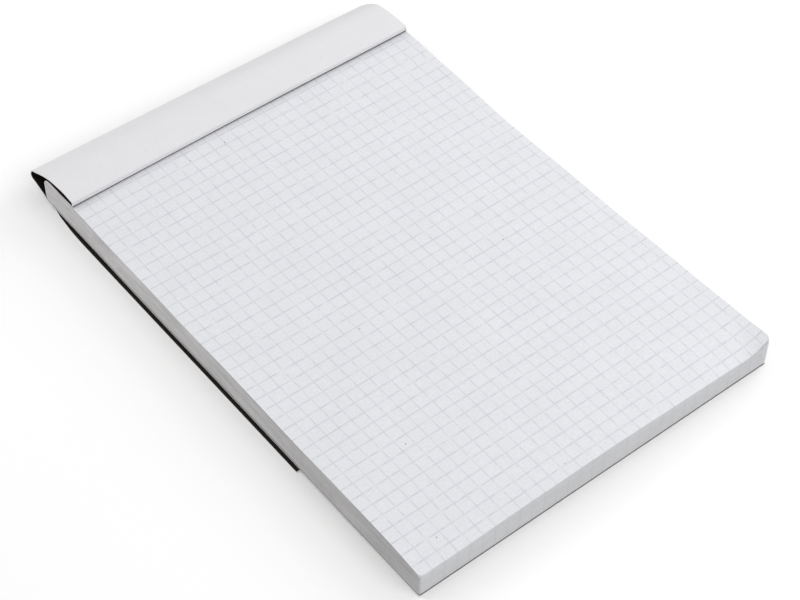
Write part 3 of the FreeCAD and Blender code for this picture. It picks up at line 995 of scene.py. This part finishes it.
# %% [markdown]
# ## The front cover, folded back
#
# The card turns up tightly at the score and has sprung open above it, so the fold stands on the sheets like a
# small hem. From there it comes back over the strip, pale side up, hangs over the head and turns down in a
# soft crease. It was creased by hand, so the crease is sharper and lower at the right end. Then it runs back
# under the pad, a millimetre out of line to the left, and ends six centimetres short of the foot. A cloth
# simulation could find such a shape, but not the way this one card happens to lie. So a few rows say it: a
# point of the left end, the same point of the right end, and how far the card is out of line there.

# %% Rows of the front cover
FRONT_ROWS = (
    (91.5, 15.55, 92.0, 15.85, 0.1),
    (96.0, 15.35, 95.5, 15.75, 0.0),
    (100.2, 14.9, 99.9, 15.5, -0.1),
    (103.7, 14.0, 103.5, 14.8, -0.2),
    (107.3, 12.65, 106.8, 13.1, -0.35),
    (110.2, 11.3, 109.6, 11.0, -0.4),
    (112.4, 10.3, 112.4, 8.5, -0.45),
    (113.4, 9.0, 114.0, 7.0, -0.5),
    (113.7, 7.4, 114.6, 5.5, -0.5),
    (113.2, 6.2, 113.9, 4.5, -0.45),
    (111.5, 5.35, 112.0, 3.8, -0.35),
    (109.1, 4.2, 109.5, 2.95, -0.25),
    (106.8, 2.8, 107.0, 2.1, -0.1),
    (104.0, 1.15, 104.0, 1.1, 0.0),
    (102.6, 0.54, 102.6, 0.54, 0.05),
    (101.4, 0.42, 101.4, 0.42, 0.1),
    (99.0, 0.05, 99.0, 0.05, 0.1),
    (96.0, 0.0, 96.0, 0.0, -0.4),
    (88.0, 0.0, 88.0, 0.0, -1.1),
    (80.0, 0.0, 80.0, 0.0, -1.35),
    (60.0, 0.0, 60.0, 0.0, -1.4),
)
FRONT_STEPS = (4, 4, 4, 3, 3, 3, 3, 4, 4, 4, 3, 3, 3, 3, 2, 2, 2, 2, 2, 2, 3, 10)  # steps from row to row
front_rows = np.array(FRONT_ROWS)
print(len(front_rows), "rows, the furthest", front_rows[:, [0, 2]].max(), "mm from the middle of the pad")

# %% [markdown]
# ## The front cover bent
#
# The cover could be cut in two at the crease, but then a gap would open there. So it stays one card, from
# the lap over the head to the flap under the pad, and it is parented to no body.

# %% Model the front cover
FOLD_LOW, FOLD_HIGH = 0.3, 0.5  # radii at the score and at the lap
FOLD_STANDS = (1.6, 1.63)  # how far the card stands straight up between them, at each end


def front_path(fold, stands, points):
    """The pale face of the front cover, from the fold to the end of the flap."""
    score = bend(fold, heading=180, radius=FOLD_LOW, turn=-90, steps=5)
    hem = score[-1] + np.outer(np.linspace(0, stands, 5)[1:], (0, 1))
    over = bend(hem[-1], heading=90, radius=FOLD_HIGH, turn=-90, steps=6)
    rest = smooth(np.concatenate([over[-1:], points, [(FLAP_END, 0.0)]]), FRONT_STEPS)
    return np.concatenate([[fold], score, hem, over, rest[1:]])


front_left, front_right = (
    front_path(fold, stands, points)
    for fold, stands, points in zip(FOLDS, FOLD_STANDS, (front_rows[:, :2], front_rows[:, 2:4]))
)
hem_rows = len(front_left) - sum(FRONT_STEPS)
shift = np.concatenate([[0.0], front_rows[:, 4], front_rows[-1:, 4]])
shift = smooth(np.stack([np.arange(len(shift), dtype=float), shift], -1), FRONT_STEPS)[1:, 1]
shift = np.concatenate([np.zeros(hem_rows), shift])
tip = np.argmax(front_left[:, 0])
front_bow = np.interp(np.arange(len(front_left)), [hem_rows, tip], [1.0, 0.0])
front_cover = bent_card("front_cover", front_left, front_right, shift, front_bow, scored=0)
belongs(front_cover, "cover_card", "cover", "cover_flap", body=None)
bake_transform(front_cover)

# %% [markdown]
# ## The staples
#
# Two staples of flat wire hold the strip, the sheets and the board together. They could be modelled again,
# but the construction model's own are already the right shape, so they only get their finish. They lie under
# the lap, and show when the cover is closed.

# %% Finish the staples
staples = frame["nodes"]["staples"]
for slot in staples.material_slots:
    slot.material = staple_wire
print("staples", [slot.material.name for slot in staples.material_slots])

# %% [markdown]
# ## Light
#
# A plain pale surround does most of the lighting, as the white walls of a small studio do. Sun and point
# lamps would draw hard shadows, so the forms are drawn by three weak softboxes: one over the foot, one behind
# the head and one close by on the right, which leaves the left side a little darker. Together with the
# surround they light a level surface to about the level at which its own colour appears.

# %% Set the softboxes
LAMPS = {  # the way to each softbox, how far off it is in metres, how wide, and its power in watts
    "foot_softbox": ((0.1, -0.75, 0.65), 0.8, 0.5, 1.33),
    "head_softbox": ((-0.4, 0.7, 0.6), 0.8, 0.5, 1.28),
    "right_softbox": ((0.85, -0.1, 0.5), 0.5, 0.4, 0.79),
}


def soft_lamp(name, way, distance, size, power):
    """A round softbox that faces the pad."""
    light = bpy.data.lights.new(name, "AREA")
    light.shape, light.size, light.energy = "DISK", size, power
    lamp = bpy.data.objects.new(name, light)
    lamp.location = Vector(way).normalized() * distance
    lamp.rotation_euler = Vector(way).to_track_quat("Z", "Y").to_euler()
    bpy.context.scene.collection.objects.link(lamp)


for name, plan in LAMPS.items():
    soft_lamp(name, *plan)
print("softboxes", list(LAMPS))

# %% [markdown]
# ## Table and surround
#
# The pad lies on a plain white table in a plain white room. Where they are looked at, straight or in metal or
# glass, their colour is pure white. They give the pad less light than that, so its cut sides stay greyer than
# its top. Light paths tell the two cases apart, which a second table and a mask would do less simply.

# %% Set the table and the surround
SURROUND = 0.68  # brightness of the room as a source of light
TABLE_THROW = 0.55  # share of the light that the table throws back
TABLE_SIZE = 6.0  # in metres, so that its edge is out of the picture
TABLE_GAP = 0.05  # keeps the table top just clear of the card that lies on it


def looked_at(tree):
    """1 for what is seen, straight or in metal or glass, and 0 for the light that falls on the pad."""
    rays = add(tree, "ShaderNodeLightPath").outputs
    indirect = {0: rays["Is Glossy Ray"], 1: rays["Is Transmission Ray"]}
    reflected = add(tree, "ShaderNodeMath", indirect, operation="MAXIMUM").outputs[0]
    seen = {0: rays["Is Camera Ray"], 1: reflected}
    return add(tree, "ShaderNodeMath", seen, operation="MAXIMUM").outputs[0]


def make_table_white():
    """Plain white without any shine, so that nothing shows in it but the pad's soft shadow."""
    material, tree = new_material("plain_white_table")
    thrown = (TABLE_THROW, TABLE_THROW, TABLE_THROW, 1.0)
    cases = {0: looked_at(tree), 6: thrown, 7: srgb("#FFFFFF")}
    colour = add(tree, "ShaderNodeMix", cases, data_type="RGBA").outputs[2]
    surface(tree, colour, Roughness=1.0, Specular_IOR_Level=0.0)
    return material


bpy.ops.mesh.primitive_plane_add(size=TABLE_SIZE, location=(0, 0, -TABLE_GAP * MM))
table_top = bpy.context.object
table_top.name = "table_top"
table_top.data.materials.append(make_table_white())

world = bpy.data.worlds.new("pale_surround")
world.use_nodes = True
room = world.node_tree
room.nodes.clear()
level = add(room, "ShaderNodeMix", {0: looked_at(room), 2: SURROUND, 3: 1.0}).outputs[0]
background = add(room, "ShaderNodeBackground", {"Color": srgb("#FFFFFF"), "Strength": level}).outputs[0]
add(room, "ShaderNodeOutputWorld", {"Surface": background})
bpy.context.scene.world = world
bpy.context.scene.view_settings.view_transform = "Standard"
print(f"{table_top.name} throws back {TABLE_THROW:.0%}, {world.name} shines at {SURROUND}")

# %% [markdown]
# ## The camera
#
# A longish lens about seventy centimetres away, from over the left of the foot, looking down at the middle
# of the pad. A Track To constraint could aim it. Here it is turned once from its own place to the point that
# it looks at, and then a shade about its own axis, so that nothing is left to follow.

# %% Place the camera
LENS, SENSOR = 91.49, 36.0
AIM = Vector((-8.0, -13.1, 7.0)) * MM
STAND = Vector((-293.0, -362.28, 522.36)) * MM
ROLL = 0.89  # degrees

camera_data = bpy.data.cameras.new("camera")
camera_data.lens, camera_data.sensor_width = LENS, SENSOR
camera_data.clip_start, camera_data.clip_end = 0.05, 20.0
camera = bpy.data.objects.new("camera", camera_data)
camera.location = STAND
look = (AIM - STAND).normalized()
level_view = look.to_track_quat("-Z", "Y")
camera.rotation_euler = (level_view @ Quaternion((0, 0, 1), math.radians(ROLL))).to_euler()
bpy.context.scene.collection.objects.link(camera)
bpy.context.scene.camera = camera
print(f"camera {(AIM - STAND).length / MM:.0f} mm away")
